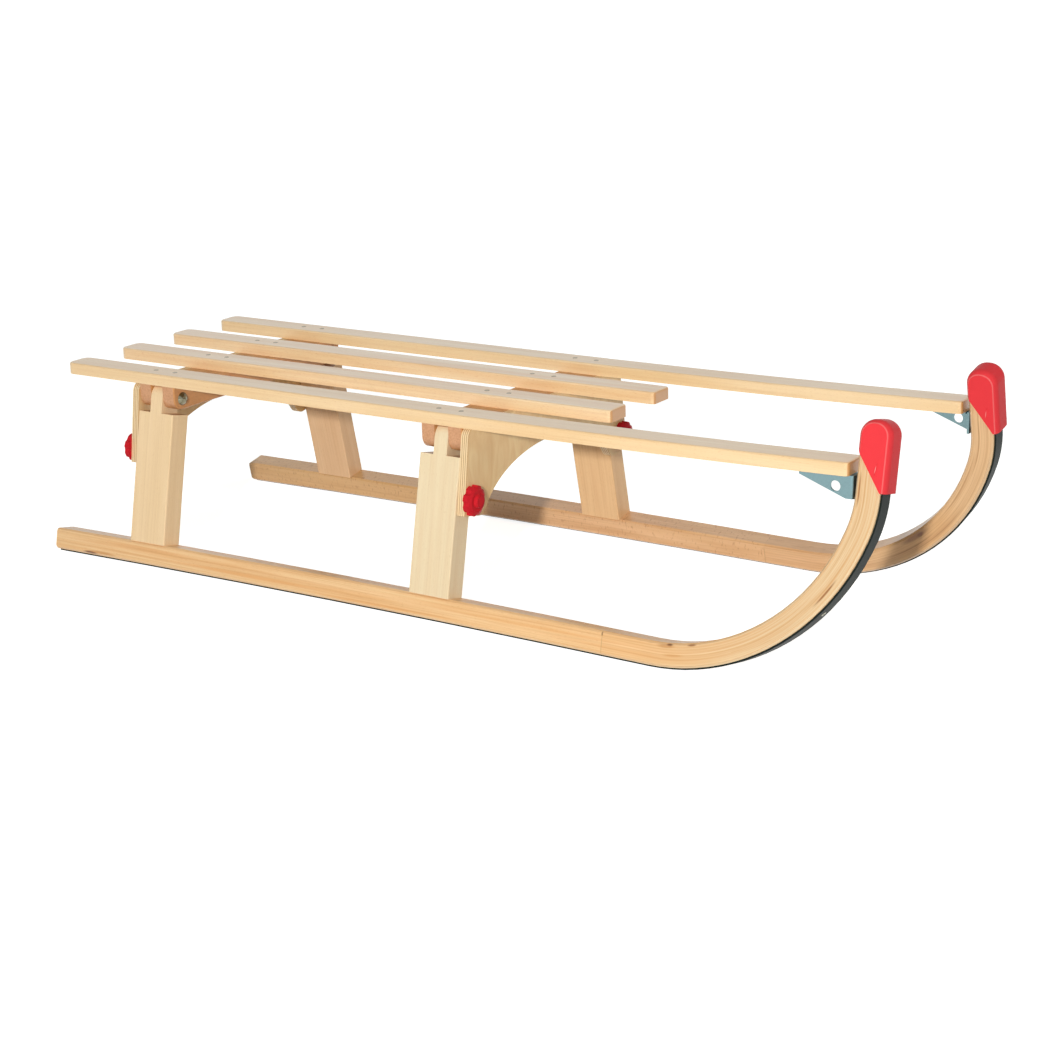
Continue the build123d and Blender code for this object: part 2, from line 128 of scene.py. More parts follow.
def beech(name, place, tones, drift=(300, 15), ring_width=2.2, rings=0.4, fleck=FLECK, flecks=0.25,
          sheen=0.6, marks=(), plies=None):
    """Lacquered beech: broad drifts of two tones, ring lines drawn out along the grain, and ray flecks.

    Each pattern is 3-D noise of the point divided by the pattern's length along the grain and its
    width across it, both in mm, so that every face cuts the pattern as it does in real wood.
    A mark is a soft ellipsoid: how far the point is from its middle, over its reach, below one.
    Plies are glued strips of one thickness, each with its own tone, ahead of a place along the grain;
    they are sliced another way than the plank behind, so they show no flecks. The clear lacquer gives
    the eye a satin sheen that drifts with the wood, over open pores.
    """
    made, tree = material(name)
    pale, tan, streak, end = tones
    point, is_end = place(tree)
    drift = add(tree, "Mapping", {"Vector": point, "Scale": (1 / drift[0], 1 / drift[1], 1 / drift[1])})[0]
    drift = add(tree, "TexNoise", {"Vector": drift, "Scale": 1.0, "Detail": 3.0, "Roughness": 0.55})[0]
    veil = add(tree, "MapRange", {0: drift, 1: DRIFT_FADE[0], 2: DRIFT_FADE[1]})[0]
    wood = add(tree, "Mix", {0: veil, 6: linear(pale), 7: linear(tan)}, data_type="RGBA")[2]
    for middle, reach, tone, depth in marks:
        away = add(tree, "Mapping", {"Vector": point, "Location": middle, "Scale": reach},
                   vector_type="TEXTURE")[0]
        away = add(tree, "VectorMath", {0: away}, operation="LENGTH")["Value"]
        dark = add(tree, "MapRange", {0: away, 1: 1.0, 2: MARK_CORE, 4: depth})[0]
        wood = add(tree, "Mix", {0: dark, 6: wood, 7: linear(tone)}, data_type="RGBA")[2]
    if plies:
        first, thickness, contrast = plies
        split = add(tree, "SeparateXYZ", {0: point})
        sway = add(tree, "MapRange", {0: drift, 3: -PLY_SWAY, 4: PLY_SWAY})[0]
        layer = add(tree, "Math", {0: split["Z"], 1: 1 / thickness, 2: sway}, operation="MULTIPLY_ADD")[0]
        count = add(tree, "Math", {0: layer}, operation="FLOOR")[0]
        own = add(tree, "TexWhiteNoise", {"W": count}, noise_dimensions="1D")[0]
        own = add(tree, "Math", {0: own, 1: PLY_TONE}, operation="MULTIPLY")[0]
        edge = add(tree, "Math", {0: layer}, operation="FRACT")[0]
        edge = add(tree, "MapRange", {0: edge, 1: GLUE_FADE[0], 2: GLUE_FADE[1]})[0]
        glue = add(tree, "Math", {0: own, 1: edge}, operation="MAXIMUM")[0]
        glued = add(tree, "MapRange", {0: split["X"], 1: first, 2: first + PLY_START})[0]
        glue = add(tree, "Math", {0: glue, 1: glued}, operation="MULTIPLY")[0]
        glue = add(tree, "Math", {0: glue, 1: contrast}, operation="MULTIPLY")[0]
        wood = add(tree, "Mix", {0: glue, 6: wood, 7: linear(streak)}, data_type="RGBA")[2]
    ring = (1 / RING_LENGTH, 1 / ring_width, 1 / ring_width)
    ring = add(tree, "Mapping", {"Vector": point, "Scale": ring})[0]
    ring = add(tree, "TexNoise", {"Vector": ring, "Scale": 1.0, "Detail": 4.0, "Roughness": 0.65})[0]
    lines = add(tree, "MapRange", {0: ring, 1: RING_FADE[0], 2: RING_FADE[1], 4: rings})[0]
    wood = add(tree, "Mix", {0: lines, 6: wood, 7: linear(streak)}, data_type="RGBA")[2]
    speck = add(tree, "Mapping", {"Vector": point, "Scale": (1 / fleck[0], 1 / fleck[1], 1 / fleck[1])})[0]
    speck = add(tree, "TexNoise", {"Vector": speck, "Scale": 1.0, "Detail": 1.0})[0]
    specks = add(tree, "MapRange", {0: speck, 1: FLECK_FADE[0], 2: FLECK_FADE[1], 4: flecks})[0]
    if plies:
        bare = add(tree, "Math", {0: 1.0, 1: glued}, operation="SUBTRACT")[0]
        specks = add(tree, "Math", {0: specks, 1: bare}, operation="MULTIPLY")[0]
    wood = add(tree, "Mix", {0: specks, 6: wood, 7: linear(streak)}, data_type="RGBA",
               blend_type="MULTIPLY")[2]
    cut = add(tree, "Mix", {0: ring, 6: linear(end), 7: linear(streak)}, data_type="RGBA")[2]
    wood = add(tree, "Mix", {0: is_end, 6: wood, 7: cut}, data_type="RGBA")[2]
    gloss = add(tree, "MapRange", {0: drift, 1: SATIN_FADE[0], 2: SATIN_FADE[1],
                                   3: SATIN[0], 4: SATIN[1]})[0]
    relief = add(tree, "Bump", {"Strength": PORES[0], "Distance": PORES[1], "Height": ring})[0]
    shader = add(tree, "BsdfPrincipled", {"Base Color": wood, "Roughness": gloss, "IOR": LACQUER_IOR,
                                          "Specular IOR Level": LACQUER_LEVEL, "Coat Weight": sheen,
                                          "Coat Roughness": COAT_ROUGHNESS, "Normal": relief})[0]
    add(tree, "OutputMaterial", {"Surface": shader})
    return made


along_sled = straight_grain((0, 0, 0))
dress(["left_rail", "right_rail"],
      beech("lacquered beech, rails", along_sled, RAIL_TONES, sheen=SLAT_SHEEN))
dress(["left_inner_slat", "right_inner_slat"],
      beech("lacquered beech, inner slats", along_sled, INNER_TONES, sheen=SLAT_SHEEN))

# ---- slat screws ----
# Zinc plated countersunk wood screws with 6 mm heads and a recess for the driver, driven flush
# through the slats into the beams: one pair to each crossing.

SCREW_HEAD = 0.0031           # radius; the head stands proud by the next value, so that its rim shows
SCREW_PROUD = 0.0002
SCREW_DEPTH = 0.001           # the modelled part of the head, below the wood's face
SCREW_TAPER = 0.8             # its radius at that depth, as a share of the head's
SCREW_RIM = 0.9               # and at its top, inside the rounded rim
RECESS = (0.0010, 0.0007)     # radius of the driver's recess at its mouth and at its floor
RECESS_DEPTH = 0.0005
SCREW_PAIR = 0.015            # each screw of a pair from the beam's middle
SCREW_ROWS = (0.0473, 0.142)  # the slats' middles, either side of the sled's
ZINC_SCALE = 500.0            # patches to the metre, 2 mm each
ZINC_GLOSS = 0.1              # how far the roughness strays either way from patch to patch
ZINC_TONES = (0.85, 1.1)      # the colour's strength in the dullest patches and in the brightest


def mesh_object(name, vertices, faces, finish, smooth=True):
    """A mesh object at the origin, from an array of points in metres and one of faces."""
    mesh = bpy.data.meshes.new(name)
    mesh.from_pydata(vertices.tolist(), [], faces.tolist())
    mesh.polygons.foreach_set("use_smooth", [smooth] * len(mesh.polygons))
    mesh.materials.append(finish)
    made = bpy.data.objects.new(name, mesh)
    bpy.context.scene.collection.objects.link(made)
    return made


def zinc(name, colour, roughness):
    """Zinc plated steel: its gloss and tone drift in patches, which gives the eye a dull, cloudy shine."""
    made, tree = material(name)
    spot = add(tree, "TexCoord")["Object"]
    patch = add(tree, "TexNoise", {"Vector": spot, "Scale": ZINC_SCALE, "Detail": 2.0})[0]
    gloss = add(tree, "MapRange", {0: patch, 3: roughness - ZINC_GLOSS, 4: roughness + ZINC_GLOSS})[0]
    tone = add(tree, "MapRange", {0: patch, 3: ZINC_TONES[0], 4: ZINC_TONES[1]})[0]
    coat = add(tree, "Mix", {0: 1.0, 6: linear(colour), 7: tone}, data_type="RGBA",
               blend_type="MULTIPLY")[2]
    shader = add(tree, "BsdfPrincipled", {"Base Color": coat, "Metallic": 1.0, "Roughness": gloss})[0]
    add(tree, "OutputMaterial", {"Surface": shader})
    return made


def revolved(profile, steps=24):
    """Closed round shape about Z: each (radius, height) of the profile, swept as (r cos t, r sin t, h).

    The first and last points lie on the axis; each closes its end with a fan of triangles.
    """
    turn = np.linspace(0, 2 * pi, steps, endpoint=False)
    radii, heights = np.array(profile).T
    walls = np.stack([np.outer(radii[1:-1], np.cos(turn)), np.outer(radii[1:-1], np.sin(turn)),
                      np.repeat(heights[1:-1, None], steps, 1)], -1).reshape(-1, 3)
    points = np.vstack([walls, [0, 0, heights[0]], [0, 0, heights[-1]]])
    rows = len(radii) - 2
    i, j = np.meshgrid(np.arange(rows - 1), np.arange(steps), indexing="ij")
    after = (j + 1) % steps
    lower = np.stack([i * steps + j, i * steps + after, (i + 1) * steps + after], -1).reshape(-1, 3)
    upper = np.stack([i * steps + j, (i + 1) * steps + after, (i + 1) * steps + j], -1).reshape(-1, 3)
    j = np.arange(steps)
    after = (j + 1) % steps
    low = np.stack([np.full(steps, rows * steps), after, j], -1)
    top_ring = (rows - 1) * steps
    high = np.stack([np.full(steps, rows * steps + 1), top_ring + j, top_ring + after], -1)
    return points, np.vstack([lower, upper, low, high])


def copies(shape, frames):
    """One shape repeated: each copy's points are turned by its 3 x 3 matrix, then moved to its place."""
    points, faces = shape
    turns = np.array([turn for turn, _ in frames])
    places = np.array([place for _, place in frames])
    moved = np.einsum("nij,pj->npi", turns, points) + places[:, None]
    steps = np.arange(len(frames)) * len(points)
    return moved.reshape(-1, 3), (faces[None] + steps[:, None, None]).reshape(-1, 3)


screw_head = revolved([(0, -SCREW_DEPTH), (SCREW_HEAD * SCREW_TAPER, -SCREW_DEPTH), (SCREW_HEAD, 0),
                       (SCREW_HEAD * SCREW_RIM, SCREW_PROUD), (RECESS[0], SCREW_PROUD),
                       (RECESS[1], -RECESS_DEPTH), (0, -RECESS_DEPTH)])
slat_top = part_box("left_inner_slat")[1].z
beam_boxes = [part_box(end + "_crossbeam") for end in ("rear", "front")]
beam_middles = [(low.x + high.x) / 2 for low, high in beam_boxes]
screw_places = [(np.eye(3), (middle + ahead, side * row, slat_top))
                for middle in beam_middles for row in SCREW_ROWS
                for side in (-1, 1) for ahead in (-SCREW_PAIR, SCREW_PAIR)]
screw_zinc = zinc("zinc plated steel, screws", "#A99E8C", 0.45)
slat_screws = mesh_object("slat_screws", *copies(screw_head, screw_places), screw_zinc)
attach(slat_screws, "seat")

# ---- crossbeams ----
# Solid beech beams, screwed under the slats, with their ends forked for the posts' tenons. The end
# grain there looks pinker and paler than the tan long faces.

BEAM_TONES = ("#D0965C", "#C48851", "#A76B3C", "#E8B48C")

dress(["rear_crossbeam", "front_crossbeam"],
      beech("lacquered beech, beams", straight_grain((0, 0, pi / 2)), BEAM_TONES, flecks=0.4, sheen=0.3))

# ---- arch boards ----
# Birch plywood, 10 mm thick, sawn to an arch and lacquered. The faces are rotary cut veneer with a
# soft upright figure; the bare edges show pale plies parted by thin darker ones.

PLY = 2.5                          # mm, one pale and one dark ply together
DARK_SHARE = 0.32                  # of that, the dark ply
GLUE_BLUR = 0.08                   # of that, how softly one ply turns into the next
VENEER = ("#E2BB84", "#EED09C")    # the face's two drifting tones, then its fibres
FIBRE = "#C39A6B"
VENEER_DRIFT = (70, 26)            # mm, upright and across
FIBRE_SIZE = (26, 0.8)             # mm; coarser than the real ones, which would not show
VENEER_FADE = (0.3, 0.7)           # values of the noise between which each fades in, as on the slats
FIBRE_FADE = (0.5, 0.8)
FIBRE_STRENGTH = 0.16
FIBRE_RELIEF = (0.1, 0.0003)       # strength, and depth in metres
PLIES = ("#EDD2A6", "#AE7F4E")     # the pale and the dark ply on an edge
BOARD_ROUGHNESS = 0.45
BOARD_LEVEL = 0.3
BOARD_COAT = 0.3


def plywood(name, back):
    """Plywood square to X: a veneer's figure on its faces, and on its edges bands of x from its back.

    The veneer's drift and its fibres are noise drawn out upright, as on the slats; a face is where the
    normal's share along X is over a half. Thin lacquer on soft veneer gives the eye a flat satin.
    """
    made, tree = material(name)
    spot = add(tree, "TexCoord")
    point = add(tree, "Mapping", {"Vector": spot["Object"], "Rotation": (0, -pi / 2, 0),
                                  "Scale": (0.001,) * 3}, vector_type="TEXTURE")[0]
    drift = (1 / VENEER_DRIFT[0], 1 / VENEER_DRIFT[1], 1 / VENEER_DRIFT[1])
    drift = add(tree, "Mapping", {"Vector": point, "Scale": drift})[0]
    drift = add(tree, "TexNoise", {"Vector": drift, "Scale": 1.0, "Detail": 3.0, "Distortion": 1.6})[0]
    veil = add(tree, "MapRange", {0: drift, 1: VENEER_FADE[0], 2: VENEER_FADE[1]})[0]
    veneer = add(tree, "Mix", {0: veil, 6: linear(VENEER[0]), 7: linear(VENEER[1])}, data_type="RGBA")[2]
    fibre = (1 / FIBRE_SIZE[0], 1 / FIBRE_SIZE[1], 1 / FIBRE_SIZE[1])
    fibre = add(tree, "Mapping", {"Vector": point, "Scale": fibre})[0]
    fibre = add(tree, "TexNoise", {"Vector": fibre, "Scale": 1.0, "Detail": 2.0})[0]
    streaks = add(tree, "MapRange", {0: fibre, 1: FIBRE_FADE[0], 2: FIBRE_FADE[1], 4: FIBRE_STRENGTH})[0]
    veneer = add(tree, "Mix", {0: streaks, 6: veneer, 7: linear(FIBRE)}, data_type="RGBA")[2]
    x = add(tree, "SeparateXYZ", {0: spot["Object"]})["X"]
    depth = add(tree, "Math", {0: x, 1: back}, operation="SUBTRACT")[0]
    ply = add(tree, "Math", {0: depth, 1: 1000 / PLY}, operation="MULTIPLY")[0]
    ply = add(tree, "Math", {0: ply}, operation="FRACT")[0]
    dark = add(tree, "MapRange", {0: ply, 1: 1 - DARK_SHARE, 2: 1 - DARK_SHARE + GLUE_BLUR})[0]
    plies = add(tree, "Mix", {0: dark, 6: linear(PLIES[0]), 7: linear(PLIES[1])}, data_type="RGBA")[2]
    facing = add(tree, "SeparateXYZ", {0: spot["Normal"]})["X"]
    facing = add(tree, "Math", {0: facing}, operation="ABSOLUTE")[0]
    on_face = add(tree, "Math", {0: facing, 1: 0.5}, operation="GREATER_THAN")[0]
    wood = add(tree, "Mix", {0: on_face, 6: plies, 7: veneer}, data_type="RGBA")[2]
    relief = add(tree, "Bump", {"Strength": FIBRE_RELIEF[0], "Distance": FIBRE_RELIEF[1],
                                "Height": fibre})[0]
    shader = add(tree, "BsdfPrincipled", {"Base Color": wood, "Roughness": BOARD_ROUGHNESS,
                                          "IOR": LACQUER_IOR, "Specular IOR Level": BOARD_LEVEL,
                                          "Coat Weight": BOARD_COAT, "Coat Roughness": COAT_ROUGHNESS,
                                          "Normal": relief})[0]
    add(tree, "OutputMaterial", {"Surface": shader})
    return made


for end in ("rear", "front"):
    dress([end + "_arch_board"],
          plywood("lacquered birch plywood, " + end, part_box(end + "_arch_board")[0].x))

# ---- posts ----
# Four beech posts, planed and lacquered, each from its own plank, so that their tones differ. The
# grain runs down the post, which leans out with its side.

SPLAY = radians(12)   # each side leans out by this
POST_TONES = {"right_rear": ("#F3D5AB", "#EECFA3", "#CDA478", "#C99A78"),
              "right_front": ("#ECD8B4", "#E8D0AA", "#CFB088", "#C99A78"),
              "left_rear": ("#E7C096", "#E0B68B", "#BC8C60", "#B9855F"),
              "left_front": ("#ECC493", "#E5BA8A", "#C29160", "#B9855F")}

# each side's fold axis, at the sled's middle, and the sign of its lean
side_pivots = {joint["child"]: np.array((0, *joint["pos_m"][1:])) for joint in frame["joints"]}
side_turns = {"left": 1, "right": -1}

for side, turn in side_turns.items():
    down = (Matrix.Rotation(turn * SPLAY, 3, "X") @ Matrix.Rotation(-pi / 2, 3, "Y")).to_euler()
    for end in ("rear", "front"):
        dress([side + "_" + end + "_post"],
              beech("lacquered beech, " + side + " " + end + " post",
                    straight_grain(down, side_pivots[side + "_side"]), POST_TONES[side + "_" + end],
                    drift=(160, 9), ring_width=1.2, rings=0.34, flecks=0.14, sheen=0.15))

# ---- pivot bolts ----
# Round headed steel bolts through the beams' ears and the posts' tenons, each the pin of a fold.
# Their zinc plate has dulled and has an olive cast.

dull_zinc = zinc("dulled zinc plated steel, bolts", "#86836F", 0.22)
dress([side + end + "_pivot_bolt" for side in ("left_", "right_") for end in ("rear", "front")], dull_zinc)

# ---- star knobs and horn caps ----
# Moulded in one glossy red plastic: the caps are pushed over the horn tips, and the knobs clamp the
# posts to the boards. The knobs' red is set darker than the caps' as painted shade, and the caps carry
# a pale painted highlight along a rib and round the flank's crease. The mould leaves a faint orange
# peel, and handling a slight haze, so the gloss is a little uneven.

RED = "#E83F45"              # the caps, then the knobs set darker as painted shade, then the caps' painted highlight
# painted shade: the knobs are the caps' plastic, set darker
KNOB_RED_WITH_PAINTED_SHADE = "#CA242E"
# painted highlight: the pale red laid along the caps' rib and flank crease
PAINTED_HIGHLIGHT_RED = "#F8A8A4"
# the rib's middle in the side's own upright frame, from its pivot, and its half sizes, in metres
RIB_MIDDLE = (0.5375, 0.001, 0.0285)
RIB_REACH = (0.0009, 0.025, 0.0062)
RIB_TILT = radians(9)
RIB_CORE = 0.7               # share of its reach over which the rib's painted highlight is at full strength
# strength of the painted highlight on the rib
RIB_HIGHLIGHT = 0.6
CREASE_TURN = (0.98, 0.70)   # cosines of the normal's lean at which the crease starts and ends
CREASE_BLUR = (0.01, 0.03)   # and how softly it does so
# strength of the painted highlight on the crease
CREASE_HIGHLIGHT = 0.3
HAZE = 0.07                  # how far the roughness strays either way from patch to patch
HAZE_SCALE = 330.0           # patches to the metre, 3 mm each
PEEL_SCALE = 1600.0          # dimples to the metre, 0.6 mm each
PEEL = (0.05, 0.0002)        # strength, and depth in metres
CAP_ROUGHNESS = 0.3
KNOB_ROUGHNESS = 0.32
PLASTIC_IOR = 1.5
PLASTIC_LEVEL = 0.03         # a plain bright room leaves no more shine than this on the red


def moulded_plastic(name, colour, roughness, rib=None):
    """Glossy moulded plastic: one colour, with patches in its gloss and a fine orange peel.

    Where a rib is given, a pale painted highlight lies along its crest: an ellipsoid about its middle,
    as long as the rib. A second painted highlight follows the crease round the flank, where the normal
    leans away from the flank's own within CREASE_TURN.
    """
    made, tree = material(name)
    spot = add(tree, "TexCoord")["Object"]
    tone = linear(colour)
    if rib:
        place, turn = rib
        # painted highlight along the rib's crest, then round the flank's crease
        away = add(tree, "Mapping", {"Vector": spot, "Location": place, "Rotation": turn, "Scale": RIB_REACH},
                   vector_type="TEXTURE")[0]
        away = add(tree, "VectorMath", {0: away}, operation="LENGTH")["Value"]
        painted_highlight = add(tree, "MapRange", {0: away, 1: 1.0, 2: RIB_CORE, 4: RIB_HIGHLIGHT})[0]
        lean = add(tree, "TexCoord")["Normal"]
        lean = add(tree, "Mapping", {"Vector": lean, "Rotation": turn}, vector_type="TEXTURE")[0]
        lean = add(tree, "SeparateXYZ", {0: lean})["Y"]
        lean = add(tree, "Math", {0: lean}, operation="ABSOLUTE")[0]
        first, last = CREASE_TURN
        start, stop = CREASE_BLUR
        off_flank = add(tree, "MapRange", {0: lean, 1: first + start, 2: first - start, 4: CREASE_HIGHLIGHT})[0]
        on_crease = add(tree, "MapRange", {0: lean, 1: last - stop, 2: last + stop})[0]
        crease = add(tree, "Math", {0: off_flank, 1: on_crease}, operation="MULTIPLY")[0]
        painted_highlight = add(tree, "Math", {0: painted_highlight, 1: crease}, operation="MAXIMUM")[0]
        tone = add(tree, "Mix", {0: painted_highlight, 6: linear(colour), 7: linear(PAINTED_HIGHLIGHT_RED)}, data_type="RGBA")[2]
    haze = add(tree, "TexNoise", {"Vector": spot, "Scale": HAZE_SCALE, "Detail": 2.0})[0]
    gloss = add(tree, "MapRange", {0: haze, 3: roughness - HAZE, 4: roughness + HAZE})[0]
    peel = add(tree, "TexNoise", {"Vector": spot, "Scale": PEEL_SCALE, "Detail": 1.0})[0]
    relief = add(tree, "Bump", {"Strength": PEEL[0], "Distance": PEEL[1], "Height": peel})[0]
    shader = add(tree, "BsdfPrincipled", {"Base Color": tone, "Roughness": gloss, "IOR": PLASTIC_IOR,
                                          "Specular IOR Level": PLASTIC_LEVEL, "Normal": relief})[0]
    add(tree, "OutputMaterial", {"Surface": shader})
    return made


for side, turn in side_turns.items():
    lean = Matrix.Rotation(turn * SPLAY, 3, "X")
    x, y, z = RIB_MIDDLE
    rib_place = side_pivots[side + "_side"] + np.array(lean @ Vector((x, turn * y, z)))
    rib_turn = (lean @ Matrix.Rotation(RIB_TILT, 3, "Y")).to_euler()
    dress([side + "_horn_cap"],
          moulded_plastic("glossy red moulded plastic, " + side + " cap", RED, CAP_ROUGHNESS,
                          (rib_place, rib_turn)))
# the knobs' darker red is painted shade
dress([side + end + "_knob" for side in ("left_", "right_") for end in ("rear", "front")],
      moulded_plastic("glossy red moulded plastic, knobs", KNOB_RED_WITH_PAINTED_SHADE, KNOB_ROUGHNESS))

# ---- runners ----
# Beech runners: a straight sawn part, and ahead of a scarf thin strips glued and bent into the horn,
# all lacquered. The grain follows the bend. A few knots and checks show in the flanks.

BEND_RADIUS = 0.242    # underside of the long bend
BEND_ANGLE = radians(71)
TOE_RADIUS = 0.140     # underside of the tighter bend under the horn
RUNNER_FOOT = 0.206    # underside of the straight run, below the fold axis
SCARF = 247            # mm, where the bent part is glued on
horn_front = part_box("left_runner")[1].x
toe_x = horn_front - TOE_RADIUS
bend_x = toe_x - (BEND_RADIUS - TOE_RADIUS) * sin(BEND_ANGLE)
bend_z = BEND_RADIUS - RUNNER_FOOT
toe_z = bend_z - (BEND_RADIUS - TOE_RADIUS) * cos(BEND_ANGLE)


def bent_grain(side):
    """Wood bent with its runner: mm along the underside's line, across, and in from it; and the cut tail.

    Along is the straight run, plus radius times angle in each of the two bends, plus the height up the
    horn; in is the height over the straight run, then radius less the distance from a bend's middle.
    """
    turn = side_turns[side]

    def place(tree):
        spot = add(tree, "TexCoord")
        flat = add(tree, "Mapping", {"Vector": spot["Object"], "Location": side_pivots[side + "_side"],
                                     "Rotation": (turn * SPLAY, 0, 0), "Scale": (1, turn, 1)},
                   vector_type="TEXTURE")[0]
        flat = add(tree, "SeparateXYZ", {0: flat})
        along = add(tree, "Math", {0: flat["X"], 1: bend_x}, operation="MINIMUM")[0]
        height = add(tree, "Math", {0: flat["Z"], 1: toe_z}, operation="SUBTRACT")[0]
        height = add(tree, "Math", {0: height, 1: 0.0}, operation="MAXIMUM")[0]
        along = add(tree, "Math", {0: along, 1: height}, operation="ADD")[0]
        inward = add(tree, "Math", {0: flat["Z"], 1: RUNNER_FOOT}, operation="ADD")[0]
        for x, z, radius, first, last in ((bend_x, bend_z, BEND_RADIUS, 0.0, BEND_ANGLE),
                                          (toe_x, toe_z, TOE_RADIUS, BEND_ANGLE, pi / 2)):
            ahead = add(tree, "Math", {0: flat["X"], 1: x}, operation="SUBTRACT")[0]
            below = add(tree, "Math", {0: z, 1: flat["Z"]}, operation="SUBTRACT")[0]
            angle = add(tree, "Math", {0: ahead, 1: below}, operation="ARCTAN2")[0]
            past = add(tree, "Math", {0: angle, 1: first}, operation="GREATER_THAN")[0]
            arc = add(tree, "MapRange", {0: angle, 1: first, 2: last, 4: radius * (last - first)})[0]
            along = add(tree, "Math", {0: along, 1: arc}, operation="ADD")[0]
            away = add(tree, "CombineXYZ", {0: ahead, 1: below})[0]
            away = add(tree, "VectorMath", {0: away}, operation="LENGTH")["Value"]
            bent = add(tree, "Math", {0: radius, 1: away}, operation="SUBTRACT")[0]
            inward = add(tree, "Mix", {0: past, 2: inward, 3: bent})[0]
        behind = add(tree, "Math", {0: horn_front, 1: flat["X"]}, operation="SUBTRACT")[0]
        upright = add(tree, "Math", {0: flat["Z"], 1: toe_z}, operation="GREATER_THAN")[0]
        inward = add(tree, "Mix", {0: upright, 2: inward, 3: behind})[0]
        point = add(tree, "CombineXYZ", {0: along, 1: flat["Y"], 2: inward})[0]
        point = add(tree, "Mapping", {"Vector": point, "Scale": (1000,) * 3})[0]
        facing = add(tree, "SeparateXYZ", {0: spot["Normal"]})["X"]
        return point, add(tree, "Math", {0: facing, 1: -CUT_ANGLE}, operation="LESS_THAN")[0]
    return place


PLY_THICKNESS = 26 / 8     # mm, eight strips in the runner's height
WIDE_FLECK = (2.2, 6.0)    # mm along and across: sawn on the quarter, where the rays show as short bars
# each mark: its middle and its reach in mm along, across and inwards, its colour, and how strong it is;
# first the wood's broad changes of tone and pale bands along its edges, which are painted highlight,
# then its knots, checks, streaks and joint lines
RIGHT_MARKS = (
    ((620, 15, 14), (330, 60, 200), "#DCC59F", 0.75),
    # painted highlight: a pale band along the underside's edge, next to the shoe
    ((-100, 15, 1), (520, 60, 7), "#F0CD9C", 0.6),
    # painted highlight: a pale band along the edge next to the shoe, through the bend and up the horn
    ((440, 15, 0), (360, 60, 5), "#EFD6AC", 0.7),
    # painted highlight: a pale band along the upper edge, through the bend and up the horn's back
    ((560, 15, 28), (240, 60, 4), "#E8CDA0", 0.5),
    ((-489, 15, 3.2), (14, 3, 2.2), "#7C4A26", 0.95),
    ((-470, 15, 5.0), (26, 3, 2.0), "#C5894F", 0.7),
    ((-240, 15, 12), (140, 4, 3.0), "#DE9E5C", 0.6),
    ((-60, 15, 7), (120, 4, 2.4), "#DFA060", 0.5),
    ((150, 15, 17), (130, 4, 2.6), "#E0A362", 0.5),
    ((-400, 15, 20), (90, 4, 3.0), "#E0A163", 0.45),
    ((331, 15, 24.3), (5, 3, 2.0), "#4E2813", 1.0),
    ((326, 15, 22.5), (14, 3, 2.6), "#B57A42", 0.6),
    ((360, 15, 23.8), (7, 3, 1.6), "#8E5A2E", 0.9),
    ((335, 15, 13), (16, 3, 1.6), "#CE9050", 0.7),
    ((247, 15, 23.5), (1.2, 4, 3.5), "#7C5430", 0.9),
    ((247, 15, 12), (0.6, 4, 15), "#B08350", 0.6),
    ((536, 15, 7.5), (22, 3, 1.4), "#8E5628", 0.95),
    ((545, 15, 10.5), (60, 3, 1.0), "#C08C54", 0.5),
    ((656, 15, 21.6), (22, 3, 1.2), "#8E5628", 0.9),
    ((640, 15, 15.5), (60, 3, 0.8), "#B98650", 0.5),
    ((590, 15, 18), (70, 3, 0.9), "#C39058", 0.5),
    ((470, 15, 12), (70, 3, 1.0), "#C6945C", 0.5),
)
LEFT_MARKS = (
    ((-380, -13, 14), (260, 60, 200), "#CFA56C", 0.7),
    ((600, -13, 14), (280, 60, 200), "#E6C090", 0.65),
    ((480, -13, 14), (70, 60, 30), "#D3A067", 0.6),
    # painted highlight: a pale band along the edge next to the shoe, through the bend and up the horn
    ((440, -13, 0), (360, 60, 4), "#E8C89C", 0.6),
    ((476, -13, 20), (7, 3, 2.6), "#3E1A0C", 1.0),
    ((468, -13, 21), (26, 3, 4.5), "#7E4A24", 0.8),
    ((455, -13, 12), (40, 3, 1.2), "#9C6433", 0.7),
    ((500, -13, 8), (60, 3, 1.1), "#A56E3B", 0.6),
    ((640, -13, 16), (60, 3, 1.1), "#A56E3B", 0.6),
    ((570, -13, 20), (60, 3, 1.1), "#A56E3B", 0.6),
    ((247, -13, 12), (0.6, 3, 15), "#A07243", 0.6),
)
RIGHT_RUNNER_TONES = ("#F0C996", "#E6B47C", "#CF9559", "#C99A78")
LEFT_RUNNER_TONES = ("#E6BA8B", "#D8A877", "#AE7646", "#B9855F")

dress(["right_runner"],
      beech("lacquered beech, right runner", bent_grain("right"), RIGHT_RUNNER_TONES,
            drift=(200, 5), ring_width=1.8, rings=0.85, flecks=0.2, sheen=0.4, marks=RIGHT_MARKS,
            plies=(SCARF, PLY_THICKNESS, 0.5)))
dress(["left_runner"],
      beech("lacquered beech, left runner", bent_grain("left"), LEFT_RUNNER_TONES,
            drift=(120, 8), ring_width=2.0, rings=0.5, fleck=WIDE_FLECK, flecks=0.42, sheen=0.6,
            marks=LEFT_MARKS, plies=(SCARF, PLY_THICKNESS, 0.4)))

# ---- shoes ----
# Hot rolled strip steel, bent to the runners and screwed under them and up the horns. It is dark
# and slightly green, with fine scratches along its length.

SHOE_STEEL = "#1F2624"
MILL_SCALE = 120.0              # patches of scale to the metre, some 8 mm each
SCALE_TONES = (0.8, 1.2)        # the colour's strength in the darkest patches and in the palest
SCRATCHES = (40, 1500, 1500)    # to the metre, along the sled and across it
SCRATCH_GLOSS = (0.42, 0.62)    # roughness in the scratches and between them
SCRATCH_RELIEF = (0.1, 0.0002)  # strength, and depth in metres
SCALED_METAL = 0.25             # the scale hides most of the metal
SCALED_LEVEL = 0.1


